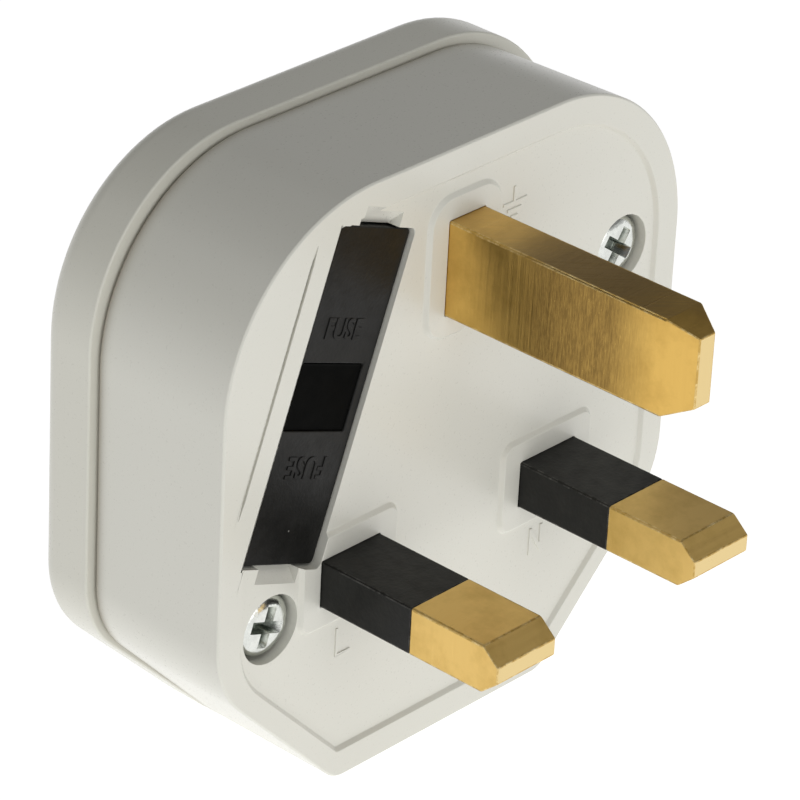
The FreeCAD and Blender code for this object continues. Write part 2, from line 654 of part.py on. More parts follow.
def fuse_carrier():
    """The slanted carrier: cover plate with a sunk window, and a cradle that grips the fuse."""
    outside = plate(centred(CARRIER_WIDTH, CARRIER_LENGTH, CARRIER_CORNER), CARRIER_SUNK, PLATE_BACK)
    half_length = CRADLE_LENGTH / 2
    half_width = CARRIER_WIDTH / 2
    arms = box(-half_width, half_width, PLATE_BACK, FUSE_AXIS + CRADLE_LIP, -half_length, half_length)
    bore = upright_bar(0, FUSE_AXIS, BARREL_RADIUS + CRADLE_GAP, -half_length - PAST, half_length + PAST)
    window = centred(WINDOW_WIDTH, WINDOW_HEIGHT, CARRIER_CORNER / 2)
    window_cut = plate(window, CARRIER_SUNK - PAST, CARRIER_SUNK + WINDOW_DEPTH)
    return slanted(joined([outside, arms]).cut([bore, window_cut]))


def fuse_barrel():
    """The ceramic tube of the fuse."""
    half_length = FUSE_LENGTH / 2 - CAP_SKIN
    tube = upright_bar(0, FUSE_AXIS, BARREL_RADIUS, -half_length, half_length)
    return slanted(tube.cut(upright_bar(0, FUSE_AXIS, BARREL_BORE, -half_length, half_length)))


def fuse_cap(side):
    """One of the fuse's two end caps."""
    end = FUSE_LENGTH / 2
    cap = upright_bar(0, FUSE_AXIS, CAP_RADIUS, end - CAP_LENGTH, end)
    inside = BARREL_RADIUS + BARREL_GAP
    cap = cap.cut(upright_bar(0, FUSE_AXIS, inside, end - CAP_LENGTH - PAST, end - CAP_SKIN))
    if side < 0:
        cap = cap.mirror(Vector(0, 0, 0), Vector(0, 0, 1))
    return slanted(cap)


def fuse_wire():
    """The wire that runs through the fuse from cap to cap."""
    half_length = FUSE_LENGTH / 2 - CAP_SKIN
    return slanted(upright_bar(0, FUSE_AXIS, FUSE_WIRE_RADIUS, -half_length, half_length))


def strap(start, end):
    """A flat strip from one point to another, with round ends."""
    run = end - start
    half = STRAP_WIDTH / 2
    across = Vector(run.z, 0, -run.x).normalize() * half
    corners = [start + across, end + across, end - across, start - across]
    strip = Part.Face(Part.makePolygon(corners + corners[:1])).extrude(Vector(0, CLIP_SHEET, 0))
    rounds = [round_bar(point.x, point.z, half, CLIP_SEAT, STRAP_BACK) for point in (start, end)]
    return [strip] + rounds


def fuse_clip(side, strap_from, end_x, end_z, hole_radius):
    """A springy clip: two jaws beside a fuse cap and a strap to where it is fastened."""
    low = side * CLIP_OFFSET - CLIP_LENGTH / 2
    high = low + CLIP_LENGTH
    wing = POCKET_WIDTH / 2 + POCKET_WALL
    tip = PLATE_BACK + CLIP_TIP_GAP
    sheets = [
        box(-JAW_OUTSIDE, wing, CLIP_SEAT, STRAP_BACK, low, high),
        box(-JAW_OUTSIDE, -JAW_INSIDE, tip, CLIP_SEAT, low, high),
        box(JAW_INSIDE, JAW_OUTSIDE, tip, CLIP_SEAT, low, high),
    ]
    start = CARRIER_PLACE.multVec(Vector(strap_from, CLIP_SEAT, side * CLIP_OFFSET))
    end = Vector(end_x, CLIP_SEAT, end_z)
    clip = joined([slanted(sheet) for sheet in sheets] + strap(start, end))
    return clip.cut(round_bar(end_x, end_z, hole_radius + THREAD_GAP, CLIP_SEAT - PAST, STRAP_BACK + PAST))


def live_rivet():
    """The rivet that holds the lower fuse clip on the live pin."""
    shank = round_bar(-PIN_X, 0, RIVET_RADIUS, CLIP_SEAT - RIVET_LENGTH, STRAP_BACK)
    head = round_bar(-PIN_X, 0, RIVET_HEAD_RADIUS, STRAP_BACK, STRAP_BACK + RIVET_HEAD)
    return joined([shank, head])


def live_terminal():
    """The block that clamps the live wire, under the upper fuse clip's strap."""
    half = TERMINAL_SIDE / 2
    low = TERMINAL_Z - half
    high = TERMINAL_Z + half
    block = box(TERMINAL_X - half, TERMINAL_X + half, FACE_WALL, CLIP_SEAT, low, high)
    axis = (FACE_WALL + CLIP_SEAT) / 2
    return block.cut(terminal_cuts(TERMINAL_X, TERMINAL_Z, low, high, axis, CLIP_SEAT))


def cord_grip():
    """The arched bar that clamps the cord on its saddle."""
    low = GRIP_Z - GRIP_LENGTH / 2
    high = GRIP_Z + GRIP_LENGTH / 2
    end = GRIP_SCREW_X + GRIP_POST_RADIUS
    bar = box(-end, end, GRIP_SEAT, GRIP_SEAT + GRIP_BAR, low, high)
    arch = upright_bar(0, CORD_AXIS, CORD_RADIUS + GRIP_BAR, low, high)
    arch = arch.common(box(-end, end, GRIP_SEAT, BACK, low, high))
    bridge = joined([bar, arch])
    cuts = [upright_bar(0, CORD_AXIS, CORD_RADIUS, low - PAST, high + PAST)]
    for side in (-1, 1):
        hole = GRIP_SCREW_RADIUS + THREAD_GAP
        x = side * GRIP_SCREW_X
        cuts.append(round_bar(x, GRIP_Z, hole, GRIP_SEAT - PAST, GRIP_SEAT + GRIP_BAR + PAST))
    return bridge.cut(cuts)


def grip_screw(side):
    """One of the two screws of the cord grip."""
    return slotted_screw(side * GRIP_SCREW_X, GRIP_Z, GRIP_SEAT + GRIP_BAR, GRIP_SCREW_RADIUS,
                         GRIP_SCREW_HEAD_RADIUS, GRIP_SCREW_HEAD, GRIP_SCREW_REACH + GRIP_BAR)


def build():
    """Every piece of the plug by its name."""
    nodes = {
        "base": base(),
        "cover": cover(),
        "earth_pin": earth_pin(),
        "neutral_pin": neutral_pin(),
        "live_pin": live_pin(),
        "neutral_sleeve": pin_sleeve(PIN_X),
        "live_sleeve": pin_sleeve(-PIN_X),
        "fuse_carrier": fuse_carrier(),
        "fuse_barrel": fuse_barrel(),
        "fuse_cap_upper": fuse_cap(1),
        "fuse_cap_lower": fuse_cap(-1),
        "fuse_wire": fuse_wire(),
        "fuse_clip_lower": fuse_clip(-1, POCKET_WIDTH / 2, -PIN_X, 0, RIVET_RADIUS),
        "fuse_clip_upper": fuse_clip(1, 0, TERMINAL_X, TERMINAL_Z, TERMINAL_SCREW_RADIUS),
        "live_rivet": live_rivet(),
        "live_terminal": live_terminal(),
        "live_terminal_screw": terminal_screw(TERMINAL_X, TERMINAL_Z, STRAP_BACK),
        "neutral_terminal_screw": terminal_screw(PIN_X, 0, HEAD_BACK),
        "earth_terminal_screw": terminal_screw(0, EARTH_RISE, HEAD_BACK),
        "cord_grip": cord_grip(),
        "cord_grip_screw_left": grip_screw(-1),
        "cord_grip_screw_right": grip_screw(1),
    }
    for name, (x, z) in COVER_SCREWS.items():
        nodes["cover_screw_" + name] = cover_screw(x, z)
        nodes["cover_insert_" + name] = cover_insert(x, z)
    return nodes


os.makedirs("parts", exist_ok=True)
for node, shape in build().items():
    shape.exportStep("parts/" + node + ".step")
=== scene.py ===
import math
import bpy
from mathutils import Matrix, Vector


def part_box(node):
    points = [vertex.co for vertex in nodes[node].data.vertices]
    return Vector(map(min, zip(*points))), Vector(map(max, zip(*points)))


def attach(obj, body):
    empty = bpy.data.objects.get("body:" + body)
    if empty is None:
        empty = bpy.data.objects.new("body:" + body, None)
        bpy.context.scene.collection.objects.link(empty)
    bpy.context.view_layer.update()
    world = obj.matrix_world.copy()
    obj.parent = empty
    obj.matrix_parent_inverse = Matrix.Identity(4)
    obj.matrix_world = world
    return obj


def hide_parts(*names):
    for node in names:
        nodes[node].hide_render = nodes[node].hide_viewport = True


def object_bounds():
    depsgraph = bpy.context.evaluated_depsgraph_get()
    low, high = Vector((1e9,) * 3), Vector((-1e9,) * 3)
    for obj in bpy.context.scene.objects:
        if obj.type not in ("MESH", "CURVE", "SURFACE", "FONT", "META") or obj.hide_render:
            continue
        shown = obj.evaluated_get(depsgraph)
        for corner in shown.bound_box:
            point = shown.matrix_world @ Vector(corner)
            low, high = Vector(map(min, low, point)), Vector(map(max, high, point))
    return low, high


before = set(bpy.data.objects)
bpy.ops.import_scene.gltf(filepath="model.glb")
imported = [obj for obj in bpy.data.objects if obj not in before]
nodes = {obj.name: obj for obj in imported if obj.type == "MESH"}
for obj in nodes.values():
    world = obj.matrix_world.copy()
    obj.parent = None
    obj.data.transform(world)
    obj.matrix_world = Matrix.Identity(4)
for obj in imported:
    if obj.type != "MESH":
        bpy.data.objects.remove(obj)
cad_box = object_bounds()

MM = 0.001

# Where the picture is taken from
CAMERA_PLACE = (-0.237863, -0.205684, 0.181481)
CAMERA_TURN = (61.3915, -2.5912, -46.9465)
CAMERA_LENS = 213.285
SENSOR_WIDTH = 36.0
NEAREST_SEEN = 0.01
FARTHEST_SEEN = 20.0

# Floor and room: what they give off, and the heights between which the room turns dark
FLOOR_WIDTH = 6.0
FLOOR_SEEN = 0.93
FLOOR_FILL = 0.99
FLOOR_PAPER = (0.35, 0.35, 0.35, 1)
ROOM_LOW = (0.69, 0.69, 0.69, 1)
ROOM_HIGH = (0.15, 0.15, 0.15, 1)
ROOM_FADE = (0.02, 0.30)

# Soft lamps, each by its name, place, width and height, and power
LAMPS_AIM = (0, 0, 0.007)
LAMPS = (
    ("front_softbox", (-0.15, -0.85, 0.25), (0.7, 0.6), 2.15),
    ("top_softbox", (-0.1, -0.35, 0.9), (0.5, 0.5), 0.74),
    ("back_softbox", (0.3, 0.42, 0.85), (0.4, 0.4), 0.3),
    ("chamfer_card", (0.52, -0.32, 0.51), (0.3, 0.3), 0.1),
    ("pin_top_card", (0.55, 0.48, 0.43), (0.35, 0.3), 0.075),
    ("edge_card", (-0.43, 0.51, 0.57), (0.2, 0.2), 0.08),
)

# Finishes, as linear colours
CREAM = (0.754, 0.746, 0.674, 1)
CREAM_SHADE = (0.747, 0.739, 0.666, 1)
COVER_CREAM = (0.736, 0.726, 0.645, 1)
COVER_SHADE = (0.729, 0.719, 0.637, 1)
SPECK = (0.30, 0.27, 0.22, 1)
# Painted shade: the base's wall darkens towards its seam with the cover
SEAM_SHADE = (0.29, 0.25, 0.19, 1)
CARRIER_BLACK = (0.0085, 0.0085, 0.0078, 1)
CARRIER_WORN = (0.014, 0.0138, 0.0125, 1)
SLEEVE_BLACK = (0.0080, 0.0080, 0.0072, 1)
SLEEVE_WORN = (0.016, 0.0158, 0.0140, 1)
# Painted shade: the black of the plate that fills the carrier's window
PANE_SHADE_BLACK = (0.0030, 0.0032, 0.0030, 1)
PANE_SHADE_PALER = (0.0045, 0.0046, 0.0042, 1)
DUST = (0.42, 0.41, 0.38, 1)
# Lighter edge colours: dust and burrs, and also painted highlight along the edges
EDGE_DUST_AND_GLINT = (0.085, 0.084, 0.078, 1)
BRASS_BURR_AND_GLINT = (0.90, 0.72, 0.36, 1)
BRASS_CUT = (0.78, 0.60, 0.285, 1)
PIN_BRASS = (0.74, 0.50, 0.165, 1)
PIN_BRASS_DULL = (0.58, 0.375, 0.105, 1)
EARTH_BRASS = (0.73, 0.465, 0.125, 1)
EARTH_BRASS_DULL = (0.56, 0.345, 0.085, 1)
TARNISH = (0.235, 0.145, 0.043, 1)
BROWNED = (0.40, 0.27, 0.11, 1)
ZINC = (0.76, 0.78, 0.74, 1)
# Painted shade for the deep parts of a screw in its well
ZINC_IN_SHADE = (0.25, 0.275, 0.245, 1)
NICKEL = (0.66, 0.65, 0.62, 1)
CERAMIC = (0.80, 0.79, 0.75, 1)
GRIP_GREY = (0.42, 0.41, 0.38, 1)

# Painted shade on the base's wall where it meets the cover, and how far it creeps from there
SEAM_EDGE = 13.05 * MM
SEAM_SHADE_REACH = 1.5 * MM
SEAM_SHADE_MOST = 0.92

# Tarnish on the earth pin's side, and the browning of its top from root to tip
STAIN_MIDDLE = (-2.0 * MM, -12.6 * MM, 22.4 * MM)
STAIN_STRETCH = (0.5, 1.0, 0.35)
STAIN_FULL = 3.4 * MM
STAIN_GONE = 7.6 * MM
BROWN_ROOT = -3.0 * MM
BROWN_TIP = -13.0 * MM
BROWN_STROKES = math.radians(45)

# Depths between which a screw's plating is painted darker, as shade deep in its well
SHADE_START = 0.95 * MM
SHADE_FULL = 1.35 * MM

# Pin face and fuse carrier
FACE_FLOOR = 0.35 * MM
CARRIER_SLANT = math.radians(20.2)
CARRIER_MIDDLE = (-14.15 * MM, 15.6 * MM)

# Raised marks beside the pins; a stroke is its middle, width and height in mm
MARK_RISE = 0.09 * MM
MARK_ROOT = 0.1 * MM
MARK_EDGE = 0.06 * MM
MARK_CORNER = math.radians(30)
LIVE_STROKES = (
    (-12.0, -6.15, 0.22, 2.5),
    (-11.3, -7.29, 1.6, 0.22),
)
EARTH_STROKES = (
    (5.55, 25.85, 0.28, 1.4),
    (5.65, 25.2, 2.7, 0.28),
    (5.6, 24.6, 1.6, 0.28),
    (5.6, 24.0, 0.8, 0.28),
)
NEUTRAL_SIZE = (1.55 * MM, 2.35 * MM)
NEUTRAL_PLACE = (10.65 * MM, FACE_FLOOR, -6.05 * MM)

# Raised words, with their places from the carrier's middle; thickness, edge and the gap that is
# closed are shares of the lettering's size as drawn
LETTER_THICK = 0.1
LETTER_EDGE = 0.02
LETTER_GAP = 0.0005
LETTER_SMOOTH = math.radians(30)
WORD_RISE = 0.08 * MM
UPPER_WORD_SIZE = (4.0 * MM, 1.7 * MM)
UPPER_WORD_PLACE = (0.05 * MM, 5.36 * MM)
LOWER_WORD_SIZE = (4.3 * MM, 1.8 * MM)
LOWER_WORD_PLACE = (0.28 * MM, -5.53 * MM)

# Plate in the carrier's window, black as painted shade for its recess
PANE_WIDTH = 6.78 * MM
PANE_HEIGHT = 5.18 * MM
PANE_BACK = 0.75 * MM
PANE_SUNK = 0.12 * MM
PANE_FRAME = 0.2 * MM
PANE_DISH = 0.03 * MM
PANE_EDGE = 0.04 * MM
PANE_CORNER = math.radians(30)

# Strip and groove beside the carrier, from the carrier's middle
STRIP_OUTER = -6.62 * MM
STRIP_INNER = -4.51 * MM
STRIP_TIP = -4.22 * MM
STRIP_LAP = 0.3 * MM
STRIP_LOW = -15.7 * MM
STRIP_HIGH = 13.6 * MM
STRIP_TOP = 13.95 * MM
POCKET_END = 13.42 * MM
STRIP_THICK = 0.8 * MM
STRIP_MARGIN = 1.1 * MM
GROOVE_ACROSS = -6.42 * MM
GROOVE_ALONG = 1.23 * MM
GROOVE_WIDTH = 0.26 * MM
GROOVE_DEPTH = 0.42 * MM
GROOVE_LENGTH = 18.2 * MM
GROOVE_POINT = 1.5 * MM
GROOVE_NARROWING = 0.15

# Notches for prising the carrier out, from the carrier's middle
RAMP_ACROSS = 0.2 * MM
RAMP_WIDTH = 4.94 * MM
RAMP_START = 12.9 * MM
RAMP_FOOT = 13.42 * MM
RAMP_END = 15.0 * MM
RAMP_DEPTH = 1.37 * MM
RAMP_ABOVE = 0.6 * MM
RAMP_NARROWING = 0.86

# Where the pin face's edges stay crisp: round the two notches, from the carrier's middle, and
# where the lower screw's well meets the live pin's pad
CRISP_DEPTH = 2.0 * MM
NOTCH_SIDE = 3.1 * MM
NOTCH_NEAR = 13.0 * MM
UPPER_NOTCH_FAR = 15.4 * MM
LOWER_NOTCH_FAR = 16.2 * MM
LOWER_NOTCH_SIDE = -5.2 * MM
WELL_BY_PAD = (-16.4 * MM, -2.3 * MM)
WELL_REACH = 1.6 * MM
PAD_LEVEL = 0.2 * MM

# Roundings of hard edges, and how edges, faces and corners are told apart
BASE_ROUND = 0.06 * MM
COVER_ROUND = 0.2 * MM
CARRIER_ROUND = 0.12 * MM
SLEEVE_ROUND = 0.1 * MM
PIN_ROUND = 0.1 * MM
HARD_EDGE = math.radians(28)
SAME_PLANE = math.radians(0.6)
SAME_DIRECTION = 0.9
SAME_CORNER = 0.001 * MM
NEAR_CORNER = 0.002 * MM

# Cover screws; the head's rim is a share of its radius at each depth below its top
SCREW_SIDES = 48
SCREW_EDGE = 0.07 * MM
SCREW_CORNER = math.radians(32)
SCREW_SMOOTH = math.radians(35)
SHANK_RADIUS = 1.5 * MM
SHANK_POINT = 0.45 * MM
POINT_NARROWING = 0.7
HEAD_RADIUS = 2.6 * MM
HEAD_DEPTH = 1.7 * MM
HEAD_RIM = ((1.0, 0.75 * MM), (0.95, 0.4 * MM), (0.82, 0.14 * MM), (0.6, 0.0))
CROSS_LENGTH = 4.5 * MM
CROSS_WIDTH = 1.3 * MM
CROSS_DEPTH = 1.4 * MM
CROSS_NARROWING = 0.5
LOWER_CROSS_TURN = math.radians(19)
UPPER_CROSS_TURN = math.radians(35)


def new_finish(name, roughness, metallic=0.0, gloss=0.5):
    """An empty finish and its main shader."""
    material = bpy.data.materials.new(name)
    material.use_nodes = True
    shader = material.node_tree.nodes["Principled BSDF"]
    shader.inputs["Roughness"].default_value = roughness
    shader.inputs["Metallic"].default_value = metallic
    shader.inputs["Specular IOR Level"].default_value = gloss
    return material, shader


def darker(colour, share):
    """A colour with only a share of its light."""
    return tuple(channel * share for channel in colour[:3]) + (1,)


def add_node(tree, kind, inputs=None, **settings):
    """A node with its settings and unlinked inputs."""
    node = tree.nodes.new(kind)
    for key, value in settings.items():
        setattr(node, key, value)
    for key, value in (inputs or {}).items():
        node.inputs[key].default_value = value
    return node


def object_place(tree, stretch=(1, 1, 1), turn=0.0):
    """Place on the piece, turned about the upright and then stretched for a pattern."""
    coords = add_node(tree, "ShaderNodeTexCoord")
    turned = add_node(tree, "ShaderNodeMapping", {"Rotation": (0, 0, turn)})
    stretched = add_node(tree, "ShaderNodeMapping", {"Scale": stretch})
    tree.links.new(coords.outputs["Object"], turned.inputs["Vector"])
    tree.links.new(turned.outputs["Vector"], stretched.inputs["Vector"])
    return stretched.outputs["Vector"]


def depth_on_piece(tree):
    """How far back a place is, from the pin face."""
    split = add_node(tree, "ShaderNodeSeparateXYZ")
    tree.links.new(object_place(tree), split.inputs["Vector"])
    return split.outputs["Y"]


def cloudy(tree, scale, detail=3.0, roughness=0.5, stretch=(1, 1, 1), turn=0.0):
    """A soft random pattern from 0 to 1."""
    noise = add_node(tree, "ShaderNodeTexNoise", {"Scale": scale, "Detail": detail, "Roughness": roughness})
    tree.links.new(object_place(tree, stretch, turn), noise.inputs["Vector"])
    return noise.outputs["Fac"]


def ramp(tree, value, low, high, start=0.0, end=1.0):
    """Stretch a pattern from one range to another, with hard ends."""
    limits = {"From Min": low, "From Max": high, "To Min": start, "To Max": end}
    node = add_node(tree, "ShaderNodeMapRange", limits, clamp=True)
    tree.links.new(value, node.inputs["Value"])
    return node.outputs["Result"]


def times(tree, a, b):
    """One pattern seen through another."""
    node = add_node(tree, "ShaderNodeMath", operation="MULTIPLY")
    tree.links.new(a, node.inputs[0])
    tree.links.new(b, node.inputs[1])
    return node.outputs[0]


def mixed(tree, amount, colour, other):
    """One colour into another by a pattern; either may be a colour or the end of a link."""
    node = add_node(tree, "ShaderNodeMix", data_type="RGBA")
    tree.links.new(amount, node.inputs["Factor"])
    for key, value in (("A", colour), ("B", other)):
        socket = [s for s in node.inputs if s.name == key and s.type == "RGBA"][0]
        if isinstance(value, tuple):
            socket.default_value = value
        else:
            tree.links.new(value, socket)
    return [s for s in node.outputs if s.type == "RGBA"][0]


def specks(tree, scale, size, share, core=0.6, cut=0.01):
    """Sparse dots: a cell pattern, with only some of its cells used."""
    cells = add_node(tree, "ShaderNodeTexVoronoi", {"Scale": scale, "Randomness": 1.0})
    tree.links.new(object_place(tree), cells.inputs["Vector"])
    dots = ramp(tree, cells.outputs["Distance"], size, size * core)
    chosen = add_node(tree, "ShaderNodeSeparateColor")
    tree.links.new(cells.outputs["Color"], chosen.inputs["Color"])
    used = ramp(tree, chosen.outputs["Red"], 1 - share, 1 - share + cut)
    return times(tree, dots, used)


def near(tree, middle, stretch, full, gone):
    """A patch that is full within one distance of a place and gone at another."""
    coords = add_node(tree, "ShaderNodeTexCoord")
    shift = [-m * s for m, s in zip(middle, stretch)]
    mapping = add_node(tree, "ShaderNodeMapping", {"Location": shift, "Scale": stretch})
    tree.links.new(coords.outputs["Object"], mapping.inputs["Vector"])
    length = add_node(tree, "ShaderNodeVectorMath", operation="LENGTH")
    tree.links.new(mapping.outputs["Vector"], length.inputs[0])
    return ramp(tree, length.outputs["Value"], gone, full)


def facing(tree, axis, low, high):
    """Full on surfaces that face along an axis, gone on those across it."""
    coords = add_node(tree, "ShaderNodeTexCoord")
    split = add_node(tree, "ShaderNodeSeparateXYZ")
    tree.links.new(coords.outputs["Normal"], split.inputs["Vector"])
    return ramp(tree, split.outputs[axis], low, high)


def bumped(tree, shader, height, strength, distance, after=None):
    """Give the surface small relief."""
    bump = add_node(tree, "ShaderNodeBump", {"Strength": strength, "Distance": distance})
    tree.links.new(height, bump.inputs["Height"])
    if after is not None:
        tree.links.new(after, bump.inputs["Normal"])
    tree.links.new(bump.outputs["Normal"], shader.inputs["Normal"])
    return bump.outputs["Normal"]


def cream_moulding(name, colour, shade, seam=None):
    """Smooth ivory plastic with a fine grain, a few dark specks and painted shade towards a seam."""
    material, shader = new_finish(name, roughness=0.28, gloss=0.45)
    tree = material.node_tree
    grain = cloudy(tree, 7000.0, roughness=0.6)
    tone = mixed(tree, ramp(tree, grain, 0.3, 0.7), colour, shade)
    tone = mixed(tree, specks(tree, 170.0, size=0.02, share=0.03), tone, SPECK)
    if seam:
        # Painted shade, darkest at the seam with the cover
        seam_shade = ramp(tree, depth_on_piece(tree), seam - SEAM_SHADE_REACH, seam, end=SEAM_SHADE_MOST)
        tone = mixed(tree, times(tree, seam_shade, times(tree, seam_shade, seam_shade)), tone, SEAM_SHADE)
    tree.links.new(tone, shader.inputs["Base Color"])
    handled = cloudy(tree, 5000.0)
    tree.links.new(ramp(tree, handled, 0.3, 0.7, start=0.27, end=0.31), shader.inputs["Roughness"])
    bumped(tree, shader, cloudy(tree, 3500.0, detail=2.0), strength=0.02, distance=0.1 * MM)
    return material


def black_moulding(name, colour, worn, gloss, dust):
    """Dark plastic, a little uneven, with pale dust in its grain."""
    material, shader = new_finish(name, roughness=0.4, gloss=gloss)
    tree = material.node_tree
    uneven = cloudy(tree, 420.0, detail=6.0, roughness=0.65)
    tone = mixed(tree, ramp(tree, uneven, 0.4, 0.75), colour, worn)
    tone = mixed(tree, specks(tree, 520.0, size=0.07, share=dust), tone, DUST)
    tree.links.new(tone, shader.inputs["Base Color"])
    rubbed = cloudy(tree, 900.0)
    tree.links.new(ramp(tree, rubbed, 0.3, 0.7, start=0.32, end=0.46), shader.inputs["Roughness"])
    bumped(tree, shader, cloudy(tree, 3000.0), strength=0.1, distance=0.2 * MM)
    return material


def rubbed_and_glinting_edge(name, colour, bright, metallic):
    """A rubbed edge, bright in places and dark in others; the bright patches are wear and also painted
    highlight.
    """
    material, shader = new_finish(name, roughness=0.5, metallic=metallic, gloss=0.2)
    tree = material.node_tree
    rubbed = cloudy(tree, 1400.0, detail=5.0, roughness=0.7)
    # Bright patches on the edge: wear, and painted highlight
    tone = mixed(tree, ramp(tree, rubbed, 0.42, 0.66), colour, bright)
    tree.links.new(tone, shader.inputs["Base Color"])
    bumped(tree, shader, rubbed, strength=0.1, distance=0.2 * MM)
    return material


def painted_shade_black(name):
    """Painted shade: the deep black of the plate in the carrier's window."""
    material, shader = new_finish(name, roughness=0.3, gloss=0.012)
    tree = material.node_tree
    uneven = cloudy(tree, 900.0, detail=5.0)
    tone = mixed(tree, ramp(tree, uneven, 0.4, 0.75), PANE_SHADE_BLACK, PANE_SHADE_PALER)
    tree.links.new(tone, shader.inputs["Base Color"])
    bumped(tree, shader, cloudy(tree, 2500.0), strength=0.06, distance=0.2 * MM)
    return material


def drawn_brass(name, colour, dull, brushed=0.06):
    """Drawn brass with cross lines, dull patches and pale cut ends."""
    material, shader = new_finish(name, roughness=0.3, metallic=1.0)
    tree = material.node_tree
    lines = cloudy(tree, 1.0, detail=4.0, roughness=0.7, stretch=(60, 3800, 60))
    patches = cloudy(tree, 260.0, detail=5.0, roughness=0.65)
    tone = mixed(tree, ramp(tree, patches, 0.45, 0.75), colour, dull)
    tone = mixed(tree, facing(tree, "Y", -0.8, -0.95), tone, BRASS_CUT)
    tree.links.new(tone, shader.inputs["Base Color"])
    tree.links.new(ramp(tree, lines, 0.3, 0.7, start=0.27, end=0.37), shader.inputs["Roughness"])
    bumped(tree, shader, lines, strength=brushed, distance=0.2 * MM)
    return material


def worn_brass(name, colour, dull):
    """The earth pin: brass browned on top, tarnished on its side, scratched where it rubs, with painted
    glints there.
    """
    material = drawn_brass(name, colour, dull, brushed=0.12)
    tree = material.node_tree
    shader = tree.nodes["Principled BSDF"]
    tone = shader.inputs["Base Color"].links[0].from_socket
    handled = near(tree, STAIN_MIDDLE, STAIN_STRETCH, STAIN_FULL, STAIN_GONE)
    lines = cloudy(tree, 1.0, detail=4.0, roughness=0.75, stretch=(1800, 7500, 900))
    stain = times(tree, handled, ramp(tree, lines, 0.25, 0.6, start=0.5))
    tone = mixed(tree, stain, tone, TARNISH)
    # Bright dashes of clean brass in the tarnish: scratches, and painted glints
    glints = cloudy(tree, 1.0, detail=5.0, roughness=0.8, stretch=(4600, 4600, 2600))
    tone = mixed(tree, times(tree, handled, ramp(tree, glints, 0.62, 0.74)), tone, colour)
    strokes = cloudy(tree, 1.0, roughness=0.6, stretch=(260, 6200, 260), turn=BROWN_STROKES)
    browned = times(tree, facing(tree, "Z", 0.93, 0.99), ramp(tree, strokes, 0.32, 0.62, start=0.5))
    browned = times(tree, browned, ramp(tree, depth_on_piece(tree), BROWN_ROOT, BROWN_TIP, start=0.3))
    tone = mixed(tree, browned, tone, BROWNED)
    tree.links.new(tone, shader.inputs["Base Color"])
    return material


def plated(name, colour, dented, painted_shade=None):
    """Bright plating with dents and fine scuffs, and painted darker where it lies deep, as shade in its
    well.
    """
    material, shader = new_finish(name, roughness=0.2, metallic=1.0)
    tree = material.node_tree
    scuffs = cloudy(tree, 900.0, detail=5.0, roughness=0.7)
    tone = mixed(tree, ramp(tree, scuffs, 0.4, 0.8), colour, darker(colour, 0.72))
    if painted_shade:
        # Painted shade: the deeper a place lies in the screw's well, the darker
        tone = mixed(tree, ramp(tree, depth_on_piece(tree), SHADE_START, SHADE_FULL), tone, painted_shade)
    tree.links.new(tone, shader.inputs["Base Color"])
    dents = bumped(tree, shader, cloudy(tree, 480.0), strength=dented, distance=0.4 * MM)
    bumped(tree, shader, scuffs, strength=0.15, distance=0.2 * MM, after=dents)
    return material


def ceramic(name, colour):
    """Pale matt body of the fuse."""
    material, shader = new_finish(name, roughness=0.45)
    tree = material.node_tree
    uneven = cloudy(tree, 500.0, detail=4.0)
    tone = mixed(tree, ramp(tree, uneven, 0.4, 0.7), colour, darker(colour, 0.9))
    tree.links.new(tone, shader.inputs["Base Color"])
    bumped(tree, shader, cloudy(tree, 4000.0), strength=0.1, distance=0.2 * MM)
    return material


FINISHES = {
    "shell": cream_moulding("ivory_shell", CREAM, CREAM_SHADE, SEAM_EDGE),
    "cover": cream_moulding("ivory_cover", COVER_CREAM, COVER_SHADE),
    "black_moulding": black_moulding("black_carrier", CARRIER_BLACK, CARRIER_WORN, gloss=0.2, dust=0.05),
    "brass": drawn_brass("pin_brass", PIN_BRASS, PIN_BRASS_DULL),
    "zinc_screw": plated("bright_zinc", ZINC, dented=0.35, painted_shade=ZINC_IN_SHADE),
    "fuse_cap": plated("nickel_cap", NICKEL, dented=0.08),
    "fuse_tube": ceramic("fuse_ceramic", CERAMIC),
    "cord_grip": cream_moulding("grip_grey", GRIP_GREY, darker(GRIP_GREY, 0.9)),
}
SLEEVE_FINISH = black_moulding("black_sleeve", SLEEVE_BLACK, SLEEVE_WORN, gloss=0.2, dust=0.12)
EARTH_FINISH = worn_brass("earth_brass", EARTH_BRASS, EARTH_BRASS_DULL)
PANE_SHADE_FINISH = painted_shade_black("window_shade_black")
SLEEVE_EDGE_WEAR_AND_GLINT = rubbed_and_glinting_edge("sleeve_edge", SLEEVE_WORN, EDGE_DUST_AND_GLINT, metallic=0.0)
BRASS_EDGE_WEAR_AND_GLINT = rubbed_and_glinting_edge("brass_edge", PIN_BRASS_DULL, BRASS_BURR_AND_GLINT, metallic=1.0)


def dress_nodes():
    """Give every solid the finish of its slot."""
    for node in nodes.values():
        for place in node.material_slots:
            slot = place.material.name.split(".")[0]
            if slot in FINISHES:
                place.material = FINISHES[slot]


def start_piece():
    """Nothing picked, so that the next step acts on one piece alone."""
    if bpy.context.object and bpy.context.object.mode != "OBJECT":
        bpy.ops.object.mode_set(mode="OBJECT")
    bpy.ops.object.select_all(action="DESELECT")


def pick_piece(piece):
    """Only this piece picked, and active."""
    start_piece()
    piece.select_set(True)
    bpy.context.view_layer.objects.active = piece


def set_in_mesh():
    """Put the picked piece's place, turn and size into its mesh."""
    bpy.ops.object.transform_apply(location=True, rotation=True, scale=True)


